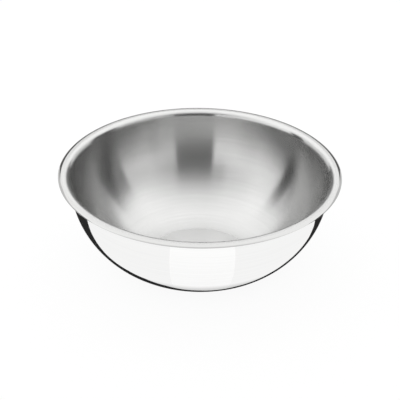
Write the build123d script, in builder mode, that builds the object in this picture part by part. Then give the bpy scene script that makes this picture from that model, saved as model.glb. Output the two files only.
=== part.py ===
"""One-piece stainless-steel mixing bowl, 30 cm over the rim.

A single disc of sheet is drawn into a round bowl with a flat bottom, one arc for a side,
and a narrow flat rim whose edge is turned down.
Millimetres, +Z up. The origin is the centre of the flat bottom, on the surface it stands on.
"""

import os
from math import cos, radians, sin

from build123d import *

# The sheet, and the size of the body outside.
sheet = 0.8
height = 108.0
wall_diameter = 273.8

# The bottom: the circle where the side would meet the ground if the corner were sharp,
# the angle at which the side leaves the ground there, and the rounding of that corner.
foot_diameter = 109.0
side_rise_angle = 11.8
base_corner_radius = 13.5

# The rim: the radius of the bend that leads into it, the diameter where its flat ends,
# and the rounding and angle of its turned-down edge.
rim_bend_radius = 5.4
rim_flat_diameter = 290.0
edge_radius = 6.0
edge_turn = 44.0

with BuildPart() as bowl:
    with BuildSketch(Plane.XZ) as section:
        # The outer skin from the centre of the bottom to the edge of the rim.
        with BuildLine() as skin:
            base = Line((0, 0), (foot_diameter / 2, 0))
            side = TangentArc(
                base @ 1,
                (wall_diameter / 2, height - sheet),
                tangent=(cos(radians(side_rise_angle)), sin(radians(side_rise_angle))),
            )
            rim = Line(side @ 1, (rim_flat_diameter / 2, height - sheet))
            JernArc(rim @ 1, rim % 1, edge_radius - sheet, -edge_turn)
            fillet(skin.vertices().sort_by_distance(base @ 1)[0], base_corner_radius)
            fillet(skin.vertices().sort_by_distance(rim @ 0)[0], rim_bend_radius)
            # The sheet lies on the inner side of that skin.
            offset(amount=sheet, side=Side.LEFT)
        make_face()
    revolve(axis=Axis.Z)

bowl.part.label = "bowl"
os.makedirs("parts", exist_ok=True)
export_step(bowl.part, "parts/bowl.step")
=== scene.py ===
"""A drawn stainless-steel mixing bowl: satin inside and on the rim, mirror-polished outside."""

from math import atan2, cos, pi, radians, sin, sqrt

import bpy
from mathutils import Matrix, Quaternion, Vector


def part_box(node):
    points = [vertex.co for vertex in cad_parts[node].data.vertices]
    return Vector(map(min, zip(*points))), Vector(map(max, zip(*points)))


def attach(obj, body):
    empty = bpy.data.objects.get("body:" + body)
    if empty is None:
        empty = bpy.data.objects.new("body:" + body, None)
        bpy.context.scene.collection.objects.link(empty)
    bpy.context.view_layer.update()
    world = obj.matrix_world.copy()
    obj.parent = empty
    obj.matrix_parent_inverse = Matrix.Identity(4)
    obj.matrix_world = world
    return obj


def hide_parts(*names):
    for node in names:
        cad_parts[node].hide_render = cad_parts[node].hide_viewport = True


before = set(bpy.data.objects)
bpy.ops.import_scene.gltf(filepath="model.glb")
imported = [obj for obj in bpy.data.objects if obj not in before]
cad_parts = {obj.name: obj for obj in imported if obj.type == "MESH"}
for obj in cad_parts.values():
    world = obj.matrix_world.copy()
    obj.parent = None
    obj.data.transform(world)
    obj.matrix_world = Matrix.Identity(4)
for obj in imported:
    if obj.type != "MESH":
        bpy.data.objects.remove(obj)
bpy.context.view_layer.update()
bowl_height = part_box("bowl")[1].z

# --- Camera -------------------------------------------------------------------------------
# A long lens 1.35 m from the bowl, looking down at it from a little over 30 degrees, aimed
# at the axis below the rim, and held a shade out of level.

camera_distance = 1.350
camera_elevation = radians(30.70)
camera_roll = radians(0.70)
aim = Vector((0, 0, bowl_height - 0.0366))
towards_camera = Vector((0, -cos(camera_elevation), sin(camera_elevation)))
level_view = (-towards_camera).to_track_quat("-Z", "Y")

camera = bpy.data.objects.new("camera", bpy.data.cameras.new("camera"))
bpy.context.scene.collection.objects.link(camera)
camera.location = aim + camera_distance * towards_camera
camera.rotation_mode = "QUATERNION"
camera.rotation_quaternion = level_view @ Quaternion((0, 0, 1), camera_roll)
camera.data.sensor_width = 36
camera.data.lens = 113.7
camera.data.shift_x = 0.0009
bpy.context.scene.camera = camera

# --- The bowl -----------------------------------------------------------------------------
# A disc of 0.8 mm stainless steel, pressed into shape and trimmed, with its edge turned down.
# The inside and the rim's flat are satin, brushed round and round on a lathe, and the bottom
# is the dullest, with its colour painted lighter as painted light. The turned-down edge is
# buffed, and the outside is polished to a mirror.

satin_colour = (0.550, 0.550, 0.545)
satin_roughness = 0.225
bottom_roughness = 0.36
# Painted light: the bottom's colour is made this much lighter, standing in for light from behind
# that the lamps don't give.
bottom_painted_light = 1.25
buffed_edge_colour = (0.477, 0.477, 0.472)
buffed_edge_roughness = 0.06
mirror_colour = (0.97, 0.97, 0.965)
mirror_roughness = 0.04
bottom_edge = (0.0525, 0.0565)
lines_along_sheet = 260
breaks_round_axis = 0.7
scratches_per_metre = 45.0
hazes_per_metre = 14.0
scratch_shade = 0.03
scratch_roughness = 0.12
haze_roughness = 0.10


class Tree:
    """A node tree under construction, with short words for the nodes used most."""

    def __init__(self, tree):
        self.tree = tree

    def takes(self, kind, *names):
        for name in names:
            self.tree.interface.new_socket(name, in_out="INPUT", socket_type=kind)

    def gives(self, kind, *names):
        for name in names:
            self.tree.interface.new_socket(name, in_out="OUTPUT", socket_type=kind)

    def node(self, kind, values=(), **settings):
        """Adds a node. Values are pairs of a socket and a number or another node's output."""
        node = self.tree.nodes.new(kind)
        for name, value in settings.items():
            setattr(node, name, value)
        for key, value in values:
            if isinstance(value, bpy.types.NodeSocket):
                self.tree.links.new(value, node.inputs[key])
            else:
                node.inputs[key].default_value = value
        return node

    def math(self, operation, *values, **settings):
        node = self.node("ShaderNodeMath", enumerate(values), operation=operation, **settings)
        return node.outputs[0]

    def between(self, value, low, high, start=0.0, end=1.0):
        """Start below the low value, end above the high one, and a smooth change between."""
        return self.node("ShaderNodeMapRange", [
            ("Value", value), ("From Min", low), ("From Max", high),
            ("To Min", start), ("To Max", end)], interpolation_type="SMOOTHSTEP").outputs["Result"]

    def place(self):
        """X, Y and Z of the spot, in the object's own space."""
        spot = self.node("ShaderNodeTexCoord").outputs["Object"]
        return self.node("ShaderNodeSeparateXYZ", [(0, spot)]).outputs

    def out_from_axis(self):
        """How far the spot lies from the object's upright axis."""
        place = self.place()
        squares = [self.math("POWER", place[axis], 2.0) for axis in ("X", "Y")]
        return self.math("SQRT", self.math("ADD", *squares))

    def gives_off(self, strength):
        """Links a strength that changes over the surface to the tree's light."""
        self.tree.links.new(strength, self.tree.nodes["Emission"].inputs["Strength"])


def lathe_grain():
    """Fine lines round the axis, as a brush leaves them on a turning bowl."""
    t = Tree(bpy.data.node_groups.new("lathe_grain", "ShaderNodeTree"))
    t.takes("NodeSocketFloat", "Lines", "Breaks")
    t.gives("NodeSocketFloat", "Grain")
    given = t.node("NodeGroupInput").outputs
    spot = t.node("ShaderNodeTexCoord").outputs["Object"]
    level = t.node("ShaderNodeVectorMath", [(0, spot), (1, (1.0, 1.0, 0.0))], operation="MULTIPLY")
    heading = t.node("ShaderNodeVectorMath", [(0, level.outputs[0])], operation="NORMALIZE")
    round_the_axis = t.node("ShaderNodeVectorMath", [
        (0, heading.outputs[0]), ("Scale", given["Breaks"])], operation="SCALE")
    sheet_map = t.node("ShaderNodeUVMap", uv_map="UVMap")
    run = t.node("ShaderNodeSeparateXYZ", [(0, sheet_map.outputs[0])]).outputs["Y"]
    across = t.node("ShaderNodeCombineXYZ", [("Z", t.math("MULTIPLY", run, given["Lines"]))])
    place = t.node("ShaderNodeVectorMath", [
        (0, round_the_axis.outputs[0]), (1, across.outputs[0])], operation="ADD")
    noise = t.node("ShaderNodeTexNoise", [
        ("Vector", place.outputs[0]), ("Scale", 1.0), ("Detail", 4.0), ("Roughness", 0.7)])
    t.node("NodeGroupOutput", [("Grain", t.between(noise.outputs[0], 0.25, 0.75))])
    return t.tree


def wear():
    """Hairline scratches here and there, and a faint uneven haze left by wiping."""
    t = Tree(bpy.data.node_groups.new("wear", "ShaderNodeTree"))
    t.takes("NodeSocketFloat", "Scratches Per Metre", "Hazes Per Metre")
    t.gives("NodeSocketFloat", "Scratches", "Haze")
    given = t.node("NodeGroupInput").outputs
    spot = t.node("ShaderNodeTexCoord").outputs["Object"]
    paths = t.node("ShaderNodeTexNoise", [
        ("Vector", spot), ("Scale", given["Scratches Per Metre"]), ("Detail", 1.0),
        ("Distortion", 1.2)])
    off_path = t.math("ABSOLUTE", t.math("SUBTRACT", paths.outputs[0], 0.5))
    hairline = t.between(off_path, 0.0, 0.002, 1.0, 0.0)
    patches = t.node("ShaderNodeTexNoise", [
        ("Vector", spot), ("Scale", t.math("MULTIPLY", given["Scratches Per Metre"], 1.7)),
        ("Detail", 0.0)])
    here_and_there = t.between(patches.outputs[0], 0.55, 0.62)
    cloud = t.node("ShaderNodeTexNoise", [
        ("Vector", spot), ("Scale", given["Hazes Per Metre"]), ("Detail", 4.0)])
    t.node("NodeGroupOutput", [
        ("Scratches", t.math("MULTIPLY", hairline, here_and_there)),
        ("Haze", t.between(cloud.outputs[0], 0.35, 0.65))])
    return t.tree


lathe_grain_group = lathe_grain()
wear_group = wear()


def steel(name, colour, roughness, anisotropic, line_shade, line_depth, bottom=None):
    """A bare metal. Highlights stretch across the brushing, and the grain and wear vary them."""
    material = bpy.data.materials.new(name)
    material.use_nodes = True
    t = Tree(material.node_tree)
    shader = t.tree.nodes["Principled BSDF"]
    shader.inputs["Metallic"].default_value = 1
    shader.inputs["Anisotropic"].default_value = anisotropic
    shader.inputs["Anisotropic Rotation"].default_value = 0.25
    tangent = t.node("ShaderNodeTangent", direction_type="RADIAL", axis="Z")
    t.tree.links.new(tangent.outputs["Tangent"], shader.inputs["Tangent"])
    grain = t.node("ShaderNodeGroup", node_tree=lathe_grain_group)
    grain.inputs["Lines"].default_value = lines_along_sheet
    grain.inputs["Breaks"].default_value = breaks_round_axis
    marks = t.node("ShaderNodeGroup", node_tree=wear_group)
    marks.inputs["Scratches Per Metre"].default_value = scratches_per_metre
    marks.inputs["Hazes Per Metre"].default_value = hazes_per_metre

    # Lines vary the shade a little, and scratches and haze vary how far the light is scattered.
    shade = t.between(grain.outputs["Grain"], 0.0, 1.0, 1 - line_shade, 1 + line_shade)
    shade = t.math("SUBTRACT", shade, t.math("MULTIPLY", marks.outputs["Scratches"], scratch_shade))
    smooth = roughness
    # The bottom is rougher, and its colour is painted lighter: painted light.
    if bottom:
        out = t.out_from_axis()
        smooth = t.between(out, *bottom_edge, bottom, roughness)
        shade = t.math("MULTIPLY", shade, t.between(out, *bottom_edge, bottom_painted_light, 1.0))
    tone = t.node("ShaderNodeVectorMath", [(0, colour), ("Scale", shade)], operation="SCALE")
    t.tree.links.new(tone.outputs[0], shader.inputs["Base Color"])
    uneven = t.math("MULTIPLY_ADD", marks.outputs["Haze"], haze_roughness, 1 - haze_roughness / 2)
    uneven = t.math("ADD", uneven, t.math("MULTIPLY", marks.outputs["Scratches"], scratch_roughness))
    t.tree.links.new(t.math("MULTIPLY", uneven, smooth), shader.inputs["Roughness"])
    bump = t.node("ShaderNodeBump", [
        ("Strength", 1.0), ("Distance", line_depth), ("Height", grain.outputs["Grain"])])
    t.tree.links.new(bump.outputs["Normal"], shader.inputs["Normal"])
    return material


satin = steel("satin_inside", satin_colour, satin_roughness, 1.0, 0.020, 0.0000006, bottom_roughness)
buffed = steel("buffed_edge", buffed_edge_colour, buffed_edge_roughness, 0.0, 0.020, 0.0000005)
mirror = steel("mirror_outside", mirror_colour, mirror_roughness, 0.0, 0.012, 0.0000003)

# The shape is a section made of straight and round stretches, turned once round the axis.
sheet = 0.0008
foot_radius = 0.0545
side_rise = radians(11.8)
wall_radius = 0.1369
corner_radius = 0.0135
bend_radius = 0.0054
flat_end_radius = 0.1450
edge_radius = 0.0060
edge_turn = radians(44)
edge_break = 0.0001
steps_round = 256
sharp_from = radians(30)

# The outer skin's side is an arc that leaves the foot's circle at the side's rise and ends at
# the wall's radius, level with the underside of the rim. Its centre is left of that heading.
under_rim = bowl_height - sheet
chord = Vector((wall_radius - foot_radius, under_rim))
inward = Vector((-sin(side_rise), cos(side_rise)))
side_radius = chord.length_squared / (2 * chord.dot(inward))
side_centre = Vector((foot_radius, 0)) + side_radius * inward

# The corner is rounded inside that arc and the bend outside it. Where each rounding meets the
# arc, the sheet's heading follows from where the rounding's centre lies.
corner_drop = side_centre.y - corner_radius
corner_out = sqrt((side_radius - corner_radius) ** 2 - corner_drop ** 2)
corner_turn = atan2(corner_out, corner_drop)
bottom_radius = side_centre.x + corner_out
bend_drop = side_centre.y - (under_rim - bend_radius)
bend_out = sqrt((side_radius + bend_radius) ** 2 - bend_drop ** 2)
side_turn = atan2(bend_out, bend_drop) - corner_turn
rim_flat = flat_end_radius - side_centre.x - bend_out


def stretch_of_sheet():
    """One stretch of the section: from a place and a heading, along its length, turning evenly."""
    t = Tree(bpy.data.node_groups.new("stretch_of_sheet", "GeometryNodeTree"))
    t.takes("NodeSocketFloat", "Steps To Go", "Steps", "Length", "Turn", "Radius", "Height",
            "Heading", "Run")
    t.gives("NodeSocketFloat", "Steps To Go", "Radius", "Height", "Heading", "Run")
    given = t.node("NodeGroupInput").outputs
    part = t.math("DIVIDE", given["Steps To Go"], given["Steps"], use_clamp=True)
    run = t.math("MULTIPLY", part, given["Length"])
    turn = t.math("MULTIPLY", part, given["Turn"])
    # The chord of an arc is its length times sin(x) / x, where x is half its turn.
    half_turn = t.math("MULTIPLY", turn, 0.5)
    x = t.math("ADD", t.math("ABSOLUTE", half_turn), 0.00001)
    chord = t.math("MULTIPLY", run, t.math("DIVIDE", t.math("SINE", x), x))
    bearing = t.math("ADD", given["Heading"], half_turn)
    t.node("NodeGroupOutput", [
        ("Steps To Go", t.math("SUBTRACT", given["Steps To Go"], given["Steps"])),
        ("Radius", t.math("MULTIPLY_ADD", chord, t.math("COSINE", bearing), given["Radius"])),
        ("Height", t.math("MULTIPLY_ADD", chord, t.math("SINE", bearing), given["Height"])),
        ("Heading", t.math("ADD", given["Heading"], turn)),
        ("Run", t.math("ADD", given["Run"], run)),
    ])
    return t.tree


def turned_sheet():
    """The whole bowl: a grid of points laid along the section and round the axis."""
    t = Tree(bpy.data.node_groups.new("turned_sheet", "GeometryNodeTree"))
    t.gives("NodeSocketGeometry", "Mesh")
    t.takes("NodeSocketFloat", "Sheet", "Bottom Radius", "Corner Radius", "Corner Turn",
            "Side Radius", "Side Turn", "Bend Radius", "Rim Flat", "Edge Radius", "Edge Turn",
            "Edge Break")
    t.takes("NodeSocketInt", "Steps Round")
    t.takes("NodeSocketMaterial", "Inside", "Edge", "Outside")
    given = t.node("NodeGroupInput").outputs

    # The stretches along the middle of the sheet: steps, length and turn of each. The last is
    # the bit of the edge that is lost when its corners are broken.
    half_sheet = t.math("MULTIPLY", given["Sheet"], 0.5)
    corner = t.math("SUBTRACT", given["Corner Radius"], half_sheet)
    side = t.math("SUBTRACT", given["Side Radius"], half_sheet)
    bend = t.math("ADD", given["Bend Radius"], half_sheet)
    edge = t.math("SUBTRACT", given["Edge Radius"], half_sheet)
    upright = t.math("ADD", given["Corner Turn"], given["Side Turn"])
    edge_run = t.math("SUBTRACT", t.math("MULTIPLY", edge, given["Edge Turn"]), given["Edge Break"])
    stretches = [
        (14, given["Bottom Radius"], 0.0),
        (6, t.math("MULTIPLY", corner, given["Corner Turn"]), given["Corner Turn"]),
        (72, t.math("MULTIPLY", side, given["Side Turn"]), given["Side Turn"]),
        (22, t.math("MULTIPLY", bend, upright), t.math("MULTIPLY", upright, -1.0)),
        (3, given["Rim Flat"], 0.0),
        (16, edge_run, t.math("MULTIPLY", given["Edge Turn"], -1.0)),
        (1, given["Edge Break"], 0.0),
    ]
    steps_along = sum(steps for steps, length, turn in stretches)
    steps_of_satin = sum(steps for steps, length, turn in stretches[:5])
    whole_run = 0.0
    for steps, length, turn in stretches:
        whole_run = t.math("ADD", whole_run, length)

    # A point's column in the grid says how far along the section it is: out from the centre on
    # the lower skin, over the cut edge of the sheet, and back to the centre on the upper skin.
    columns = 2 * steps_along + 2
    rows = t.math("ADD", given["Steps Round"], 1.0)
    grid = t.node("GeometryNodeMeshGrid", [("Vertices X", columns), ("Vertices Y", rows)])
    index = t.node("GeometryNodeInputIndex").outputs[0]
    column = t.math("FLOOR", t.math("DIVIDE", t.math("ADD", index, 0.5), rows))
    row = t.math("SUBTRACT", index, t.math("MULTIPLY", column, rows))
    upper = t.math("GREATER_THAN", column, steps_along + 0.5)
    step = t.math("MINIMUM", column, t.math("SUBTRACT", columns - 1.0, column))

    stretch = stretch_of_sheet()
    place = {"Steps To Go": step, "Radius": 0.0, "Height": half_sheet, "Heading": 0.0, "Run": 0.0}
    for steps, length, turn in stretches:
        along = t.node("GeometryNodeGroup", node_tree=stretch)
        for name, value in {**place, "Steps": float(steps), "Length": length, "Turn": turn}.items():
            if isinstance(value, float):
                along.inputs[name].default_value = value
            else:
                t.tree.links.new(value, along.inputs[name])
        place = {name: along.outputs[name] for name in place}

    # Half the sheet lies to each side of its middle, a little less right at the cut edge.
    # Then the section goes round the axis.
    at_cut = t.math("GREATER_THAN", step, steps_along - 0.5)
    thickness = t.math("SUBTRACT", half_sheet, t.math("MULTIPLY", at_cut, given["Edge Break"]))
    side_of_middle = t.math("MULTIPLY_ADD", upper, 2.0, -1.0)
    offset = t.math("MULTIPLY", thickness, side_of_middle)
    inwards = t.math("MULTIPLY", offset, t.math("SINE", place["Heading"]))
    radius = t.math("SUBTRACT", place["Radius"], inwards)
    height = t.math("MULTIPLY_ADD", offset, t.math("COSINE", place["Heading"]), place["Height"])
    part_round = t.math("DIVIDE", row, given["Steps Round"])
    angle = t.math("MULTIPLY", part_round, 2 * pi)
    position = t.node("ShaderNodeCombineXYZ", [
        ("X", t.math("MULTIPLY", radius, t.math("COSINE", angle))),
        ("Y", t.math("MULTIPLY", radius, t.math("SINE", angle))),
        ("Z", height)])
    shaped = t.node("GeometryNodeSetPosition", [
        ("Geometry", grid.outputs["Mesh"]), ("Position", position.outputs[0])])

    # The pattern of the finish follows the sheet: round the axis, and out and back along the run.
    part_along = t.math("MULTIPLY", t.math("DIVIDE", place["Run"], whole_run), 0.5)
    there_and_back = t.math("ABSOLUTE", t.math("SUBTRACT", upper, part_along))
    sheet_map = t.node("ShaderNodeCombineXYZ", [("X", part_round), ("Y", there_and_back)])
    kept = t.node("GeometryNodeCaptureAttribute", domain="POINT")
    kept.capture_items.new("FLOAT", "Column")
    kept.capture_items.new("VECTOR", "Sheet Map")
    t.tree.links.new(shaped.outputs[0], kept.inputs["Geometry"])
    t.tree.links.new(column, kept.inputs["Column"])
    t.tree.links.new(sheet_map.outputs[0], kept.inputs["Sheet Map"])
    mapped = t.node("GeometryNodeStoreNamedAttribute", [
        ("Geometry", kept.outputs["Geometry"]), ("Name", "UVMap"),
        ("Value", kept.outputs["Sheet Map"])], data_type="FLOAT2", domain="CORNER")

    # Satin goes from the middle of the inside to the end of the rim's flat, and the buffed edge
    # from there over the cut.
    on_edge = t.math("GREATER_THAN", kept.outputs["Column"], steps_along + 0.25)
    inside = t.math("GREATER_THAN", kept.outputs["Column"], columns - steps_of_satin - 1.25)
    joined = t.node("GeometryNodeMergeByDistance", [
        ("Geometry", mapped.outputs[0]), ("Distance", 0.000001)])
    smooth = t.node("GeometryNodeSetShadeSmooth", [("Geometry", joined.outputs[0])])
    fold = t.node("GeometryNodeInputMeshEdgeAngle").outputs["Unsigned Angle"]
    creased = t.node("GeometryNodeSetShadeSmooth", [
        ("Geometry", smooth.outputs[0]), ("Selection", t.math("GREATER_THAN", fold, sharp_from)),
        ("Shade Smooth", False)], domain="EDGE")
    finished = t.node("GeometryNodeRealizeInstances", [("Geometry", creased.outputs[0])])
    for where, material in ((True, "Outside"), (on_edge, "Edge"), (inside, "Inside")):
        finished = t.node("GeometryNodeSetMaterial", [
            ("Geometry", finished.outputs[0]), ("Selection", where), ("Material", given[material])])
    t.node("NodeGroupOutput", [("Mesh", finished.outputs[0])])
    return t.tree


sizes = {
    "Sheet": sheet, "Bottom Radius": bottom_radius, "Corner Radius": corner_radius,
    "Corner Turn": corner_turn, "Side Radius": side_radius, "Side Turn": side_turn,
    "Bend Radius": bend_radius, "Rim Flat": rim_flat, "Edge Radius": edge_radius,
    "Edge Turn": edge_turn, "Edge Break": edge_break, "Steps Round": steps_round,
    "Inside": satin, "Edge": buffed, "Outside": mirror,
}
blank = bpy.data.objects.new("blank", bpy.data.meshes.new("blank"))
bpy.context.scene.collection.objects.link(blank)
press = blank.modifiers.new("press", "NODES")
press.node_group = turned_sheet()
for item in press.node_group.interface.items_tree:
    if item.in_out == "INPUT":
        press[item.identifier] = sizes[item.name]
graph = bpy.context.evaluated_depsgraph_get()
shell = bpy.data.meshes.new_from_object(blank.evaluated_get(graph), depsgraph=graph)
bpy.data.objects.remove(blank)
bowl = bpy.data.objects.new("drawn_bowl", shell)
bpy.context.scene.collection.objects.link(bowl)
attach(bowl, "root")
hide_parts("bowl")

# --- Floor --------------------------------------------------------------------------------
# White paper, which the bowl darkens where they touch. On it lie pieces that only the polished
# outside shows, as painted reflections: a black sheet under, beside and behind the bowl, painted
# shade under it and painted dark reflections beside and behind it, which fades into the paper to
# the sides and the back, and a pale card to each side of the front, painted pale reflections.

paper_white = 0.95
paper_glow = 0.93
# Glow of the pale cards that only the steel reflects: painted reflection.
painted_pale_reflection_glow = 0.93
# Glow and fades of the black sheet that only the steel reflects: painted shade and painted dark
# reflections.
painted_dark_reflection_glow = 0.022
painted_dark_side_fade = (0.205, 0.270)
painted_dark_back_fade = (0.075, 0.145)
under_bowl = (0.090, 0.108)
clear_at_middle = 0.7
reach = 4.0
painted_sheet_height = 0.0002


def seen_as_background(t, share):
    """The given share on rays that show the background: straight, mirrored or refracted."""
    path = t.node("ShaderNodeLightPath").outputs
    total = path["Is Camera Ray"]
    for name in ("Is Glossy Ray", "Is Transmission Ray"):
        total = t.math("ADD", total, path[name], use_clamp=True)
    return t.math("MULTIPLY", total, share)


def stage_piece(name, points, faces, material, hidden=True):
    """Puts a piece of the studio in place. A hidden one shows only in the steel's reflections."""
    mesh = bpy.data.meshes.new(name)
    mesh.from_pydata(points, [], faces)
    mesh.materials.append(material)
    piece = bpy.data.objects.new(name, mesh)
    bpy.context.scene.collection.objects.link(piece)
    if hidden:
        piece.visible_camera = False
        piece.visible_shadow = False
    return piece


def painted_floor_sheet(name, outline, material, layer=1):
    """A sheet lying on the floor, shown only in the steel's reflections as painted reflection or
    painted shade, which casts no light and no shade on it.
    """
    points = [(x, y, layer * painted_sheet_height) for x, y in outline]
    painted_sheet = stage_piece(name, points, [tuple(range(len(points)))], material)
    painted_sheet.visible_diffuse = False


paper = bpy.data.materials.new("floor_paper")
paper.use_nodes = True
t = Tree(paper.node_tree)
paper.cycles.emission_sampling = "NONE"
matt = t.tree.nodes["Principled BSDF"]
matt.inputs["Base Color"].default_value = (paper_white, paper_white, paper_white, 1)
matt.inputs["Roughness"].default_value = 0.9
matt.inputs["Specular IOR Level"].default_value = 0
glow = t.node("ShaderNodeEmission", [("Strength", 1.0)])
blend = t.node("ShaderNodeMixShader", [
    ("Fac", seen_as_background(t, paper_glow)), (1, matt.outputs[0]), (2, glow.outputs[0])])
t.tree.links.new(blend.outputs[0], t.tree.nodes["Material Output"].inputs["Surface"])
corners = [(-reach, -reach, 0), (reach, -reach, 0), (reach, reach, 0), (-reach, reach, 0)]
stage_piece("floor", corners, [(0, 1, 2, 3)], paper, hidden=False)


def lamp_face(name, strength):
    """A plain face that gives off an even white light, or none."""
    material = bpy.data.materials.new(name)
    material.use_nodes = True
    material.cycles.emission_sampling = "NONE"
    t = Tree(material.node_tree)
    t.tree.nodes.remove(t.tree.nodes["Principled BSDF"])
    light = t.node("ShaderNodeEmission", [("Strength", strength)])
    t.tree.links.new(light.outputs[0], t.tree.nodes["Material Output"].inputs["Surface"])
    return material


# A black sheet seen only in the polished outside: painted shade under the bowl, and painted dark
# reflections beside and behind it, fading into the paper to the sides and the back.
painted_dark = lamp_face("painted_dark_reflection", painted_dark_reflection_glow)
t = Tree(painted_dark.node_tree)
place = t.place()
fade_to_side = t.between(t.math("ABSOLUTE", place["X"]), *painted_dark_side_fade, painted_dark_reflection_glow, paper_glow)
fade_to_back = t.between(place["Y"], *painted_dark_back_fade, painted_dark_reflection_glow, paper_glow)
t.gives_off(t.math("MAXIMUM", fade_to_side, fade_to_back))
painted_floor_sheet("painted_dark_reflection", [
    (-0.28, -0.001), (-0.219, -0.006), (-0.171, -0.018), (-0.149, -0.026), (-0.122, -0.0385),
    (-0.104, -0.052), (-0.085, -0.0675), (-0.064, -0.0795), (-0.038, -0.0865), (0, -0.087),
    (0.042, -0.0795), (0.067, -0.069), (0.087, -0.0585), (0.108, -0.043), (0.132, -0.020),
    (0.154, -0.003), (0.189, 0.010), (0.236, 0.018), (0.28, 0.025), (0.28, 0.15), (-0.28, 0.15)],
    painted_dark, layer=2)
# Pale cards seen only in the polished outside: painted reflections of a slightly dimmer floor to
# each side of the front.
pale_reflection_paint = lamp_face("painted_pale_reflection", painted_pale_reflection_glow)
painted_floor_sheet("left_painted_reflection", [
    (-0.025, -0.08), (-0.073, -0.219), (-0.3, -0.9), (-0.9, -0.9), (-0.9, 0.10), (-0.6, 0.06),
    (-0.10, -0.03)], pale_reflection_paint)
painted_floor_sheet("right_painted_reflection", [
    (0.03, -0.08), (0.105, -0.03), (0.24, 0.03), (0.6, 0.10), (0.9, 0.12), (0.9, -0.9),
    (0.384, -0.9), (0.09, -0.211)], pale_reflection_paint)

# A dark disc under the bowl deepens the shade where the polished steel nears the floor, and
# clears towards its edge.
shade = lamp_face("shade_under_bowl", 0.0)
t = Tree(shade.node_tree)
clear = t.node("ShaderNodeBsdfTransparent")
fade = t.node("ShaderNodeMixShader", [
    ("Fac", t.between(t.out_from_axis(), *under_bowl, clear_at_middle, 1.0)),
    (1, t.tree.nodes["Emission"].outputs[0]), (2, clear.outputs[0])])
t.tree.links.new(fade.outputs[0], t.tree.nodes["Material Output"].inputs["Surface"])
sides = 64
painted_floor_sheet("shade_under_bowl", [
    (under_bowl[1] * cos(2 * pi * i / sides), under_bowl[1] * sin(2 * pi * i / sides))
    for i in range(sides)], shade, layer=3)

# --- Studio -------------------------------------------------------------------------------
# A dark room with one wide softbox overhead and a panel on each side of the camera. Azimuths
# go round from the camera's side, with 90 at +X, and heights are measured from the rim.

panel_distance = 2.6
room_radius = 5.0
room_below_floor = 0.01
room_glow = 0.025
softbox_height = 2.0
softbox_strength = 1.69
softbox_left = -2.826
softbox_right = 2.926
softbox_front = -2.36
softbox_back = 6.0
notch_side = 1.088
notch_back = -1.56
front_fade = (-2.0, 0.2)
back_fade = (3.0, 5.2)
softbox_at_front = 0.40
softbox_at_back = 0.70


def curved_panel(name, azimuths, elevations, strength):
    """A lit part of a dome round the bowl, between two azimuths and two elevations."""
    steps = 24
    points = []
    faces = []
    for i in range(steps + 1):
        azimuth = radians(azimuths[0] + (azimuths[1] - azimuths[0]) * i / steps)
        for elevation in elevations:
            out = panel_distance * cos(radians(elevation))
            up = panel_distance * sin(radians(elevation))
            points.append((out * sin(azimuth), -out * cos(azimuth), up + bowl_height))
        if i:
            faces.append((2 * i - 2, 2 * i, 2 * i + 1, 2 * i - 1))
    stage_piece(name, points, faces, lamp_face(name, strength))


# The softbox has a notch in the middle of its front edge, and is dimmer to the front and back.
outline = [
    (softbox_left, softbox_front), (-notch_side, softbox_front), (-notch_side, notch_back),
    (notch_side, notch_back), (notch_side, softbox_front), (softbox_right, softbox_front),
    (softbox_right, softbox_back), (softbox_left, softbox_back)]
cloth = lamp_face("softbox_cloth", softbox_strength)
t = Tree(cloth.node_tree)
back_along = t.place()["Y"]
front_share = t.between(back_along, *front_fade, softbox_at_front, 1.0)
back_share = t.between(back_along, *back_fade, 1.0, softbox_at_back)
t.gives_off(t.math("MULTIPLY", t.math("MULTIPLY", front_share, back_share), softbox_strength))
stage_piece("overhead_softbox", [(x, y, softbox_height + bowl_height) for x, y in outline],
            [tuple(range(len(outline)))], cloth)
curved_panel("left_panel", (-90.3, -13.1), (6.3, 32.4), 1.62)
curved_panel("right_panel", (23.9, 82.0), (11.7, 26.0), 1.44)
curved_panel("back_left_screen", (211, 257), (-2, 30), 1.04)
curved_panel("back_right_screen", (112, 149), (-2, 30), 0.98)
curved_panel("back_wall", (149, 211), (-2, 24), 0.175)

# The room is a dome of rings of points, from just under the floor up to its top.
rings = 12
around = 32
points = []
faces = []
for i in range(rings + 1):
    elevation = pi / 2 * i / rings
    out = room_radius * cos(elevation)
    up = room_radius * sin(elevation) - room_below_floor
    for j in range(around):
        azimuth = 2 * pi * j / around
        points.append((out * cos(azimuth), out * sin(azimuth), up))
        if i:
            ring = i * around
            lower_ring = ring - around
            following = (j + 1) % around
            faces.append((lower_ring + j, lower_ring + following, ring + following, ring + j))
stage_piece("dark_room", points, faces, lamp_face("dark_wall", room_glow))

world = bpy.data.worlds.new("studio")
world.use_nodes = True
t = Tree(world.node_tree)
sky = t.tree.nodes["Background"]
sky.inputs["Color"].default_value = (1, 1, 1, 1)
t.tree.links.new(seen_as_background(t, 1.0), sky.inputs["Strength"])
bpy.context.scene.world = world
bpy.context.scene.view_settings.view_transform = "Standard"
